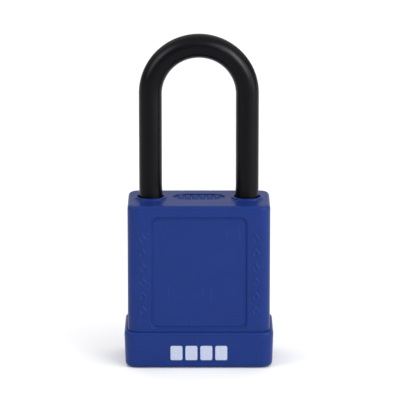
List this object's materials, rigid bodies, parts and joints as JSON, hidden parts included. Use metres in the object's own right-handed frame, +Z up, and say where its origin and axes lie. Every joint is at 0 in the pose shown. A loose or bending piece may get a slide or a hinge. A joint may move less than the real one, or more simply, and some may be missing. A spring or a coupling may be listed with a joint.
{
  "type": "safety padlock",
  "caption": "Blue plastic-covered lockout padlock with a black sleeved steel shackle, a clip-on bottom cap and a keyed brass cylinder that frees both legs.",
  "frame": {"origin": "middle of the underside of the bottom cap", "axes": "+Z up through the cylinder towards the top of the shackle, -Y the front, +X the side of the leg that comes free"},
  "size_m": [0.04, 0.022, 0.0891],
  "materials": {
    "blue_cover": "semi-gloss moulded nylon",
    "black_sleeve": "satin black sleeve",
    "brass": "machined",
    "hard_steel": "plated, hardened",
    "spring_steel": "drawn wire and ground pins"
  },
  "bodies": {
    "case": {"upper_cover": "blue_cover", "bottom_cap": "blue_cover", "lock_body": "brass", "channel_plug": "brass", "heel_retaining_pin": "spring_steel", "plug_retaining_pin": "spring_steel", "shackle_spring": "spring_steel", "pin_spring_1": "spring_steel", "pin_spring_2": "spring_steel", "pin_spring_3": "spring_steel", "pin_spring_4": "spring_steel", "pin_spring_5": "spring_steel", "pin_spring_6": "spring_steel", "chamber_plug_1": "brass", "chamber_plug_2": "brass", "chamber_plug_3": "brass", "chamber_plug_4": "brass", "chamber_plug_5": "brass", "chamber_plug_6": "brass"},
    "plug_and_cam": {"plug": "brass", "cam": "hard_steel"},
    "shackle_assembly": {"shackle": "hard_steel", "shackle_sleeve": "black_sleeve"},
    "toe_latch": {"toe_latch": "hard_steel"},
    "heel_latch": {"heel_latch": "hard_steel"},
    "key_pin_1": {"key_pin_1": "brass"},
    "key_pin_2": {"key_pin_2": "brass"},
    "key_pin_3": {"key_pin_3": "brass"},
    "key_pin_4": {"key_pin_4": "brass"},
    "key_pin_5": {"key_pin_5": "brass"},
    "key_pin_6": {"key_pin_6": "brass"},
    "driver_pin_1": {"driver_pin_1": "spring_steel"},
    "driver_pin_2": {"driver_pin_2": "spring_steel"},
    "driver_pin_3": {"driver_pin_3": "spring_steel"},
    "driver_pin_4": {"driver_pin_4": "spring_steel"},
    "driver_pin_5": {"driver_pin_5": "spring_steel"},
    "driver_pin_6": {"driver_pin_6": "spring_steel"}
  },
  "joints": [
    {"name": "plug_turn", "type": "hinge", "parent": "case", "child": "plug_and_cam", "pos_m": [0, 0, 0.002], "axis": [0, 0, 1], "range_deg": [0, 90]},
    {"name": "toe_latch_slide", "type": "slide", "parent": "case", "child": "toe_latch", "axis": [-1, 0, 0], "range_m": [0, 0.0045]},
    {"name": "heel_latch_slide", "type": "slide", "parent": "case", "child": "heel_latch", "axis": [1, 0, 0], "range_m": [0, 0.0045]},
    {"name": "shackle_lift", "type": "slide", "parent": "case", "child": "shackle_assembly", "axis": [0, 0, 1], "range_m": [0, 0.0125], "deforming": ["shackle_spring"]},
    {"name": "key_pin_1_slide", "type": "slide", "parent": "plug_and_cam", "child": "key_pin_1", "axis": [1, 0, 0], "range_m": [-0.0025, 0]},
    {"name": "key_pin_2_slide", "type": "slide", "parent": "plug_and_cam", "child": "key_pin_2", "axis": [1, 0, 0], "range_m": [-0.0013, 0]},
    {"name": "key_pin_3_slide", "type": "slide", "parent": "plug_and_cam", "child": "key_pin_3", "axis": [1, 0, 0], "range_m": [-0.0019, 0]},
    {"name": "key_pin_4_slide", "type": "slide", "parent": "plug_and_cam", "child": "key_pin_4", "axis": [1, 0, 0], "range_m": [-0.0007, 0]},
    {"name": "key_pin_5_slide", "type": "slide", "parent": "plug_and_cam", "child": "key_pin_5", "axis": [1, 0, 0], "range_m": [-0.0022, 0]},
    {"name": "key_pin_6_slide", "type": "slide", "parent": "plug_and_cam", "child": "key_pin_6", "axis": [1, 0, 0], "range_m": [-0.0016, 0]},
    {"name": "driver_pin_1_slide", "type": "slide", "parent": "case", "child": "driver_pin_1", "axis": [1, 0, 0], "range_m": [-0.0025, 0]},
    {"name": "driver_pin_2_slide", "type": "slide", "parent": "case", "child": "driver_pin_2", "axis": [1, 0, 0], "range_m": [-0.0013, 0]},
    {"name": "driver_pin_3_slide", "type": "slide", "parent": "case", "child": "driver_pin_3", "axis": [1, 0, 0], "range_m": [-0.0019, 0]},
    {"name": "driver_pin_4_slide", "type": "slide", "parent": "case", "child": "driver_pin_4", "axis": [1, 0, 0], "range_m": [-0.0007, 0]},
    {"name": "driver_pin_5_slide", "type": "slide", "parent": "case", "child": "driver_pin_5", "axis": [1, 0, 0], "range_m": [-0.0022, 0]},
    {"name": "driver_pin_6_slide", "type": "slide", "parent": "case", "child": "driver_pin_6", "axis": [1, 0, 0], "range_m": [-0.0016, 0]}
  ],
  "couplings": [
    {"joint": "plug_turn", "follows": "shackle_lift", "rad_per_m": 125.66},
    {"joint": "toe_latch_slide", "follows": "shackle_lift", "ratio": 0.3599},
    {"joint": "heel_latch_slide", "follows": "shackle_lift", "ratio": 0.3599},
    {"joint": "driver_pin_1_slide", "follows": "key_pin_1_slide", "ratio": 1},
    {"joint": "driver_pin_2_slide", "follows": "key_pin_2_slide", "ratio": 1},
    {"joint": "driver_pin_3_slide", "follows": "key_pin_3_slide", "ratio": 1},
    {"joint": "driver_pin_4_slide", "follows": "key_pin_4_slide", "ratio": 1},
    {"joint": "driver_pin_5_slide", "follows": "key_pin_5_slide", "ratio": 1},
    {"joint": "driver_pin_6_slide", "follows": "key_pin_6_slide", "ratio": 1}
  ]
}
